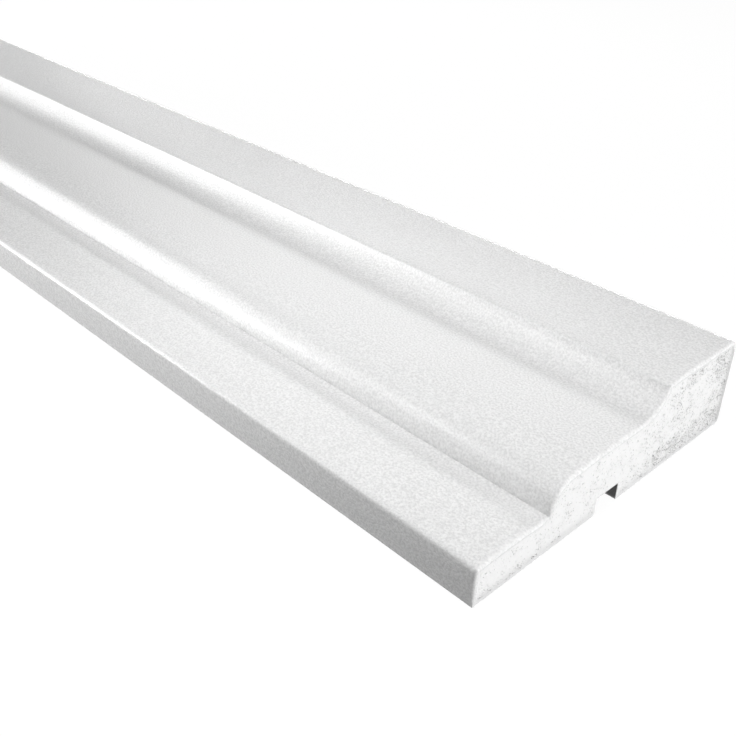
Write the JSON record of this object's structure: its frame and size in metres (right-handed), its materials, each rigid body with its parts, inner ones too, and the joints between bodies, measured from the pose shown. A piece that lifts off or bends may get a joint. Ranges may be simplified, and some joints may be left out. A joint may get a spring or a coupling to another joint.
{
  "type": "facade moulding",
  "caption": "Stock length of white hard-foam facade moulding with a lip, ovolo, flat band, cove and raised land over a flat back with a keying groove.",
  "frame": {"origin": "under the middle of the moulding, on the plane of its flat back", "axes": "+X along the length, +Y from the thin front lip to the thick rear edge, +Z out of the back towards the moulded face"},
  "size_m": [2, 0.12, 0.031],
  "materials": {
    "foam_skin": "white satin moulded skin with a fine stipple; the cut ends show fine open foam cells"
  },
  "bodies": {
    "root": {"facade_moulding": "foam_skin"}
  },
  "joints": []
}
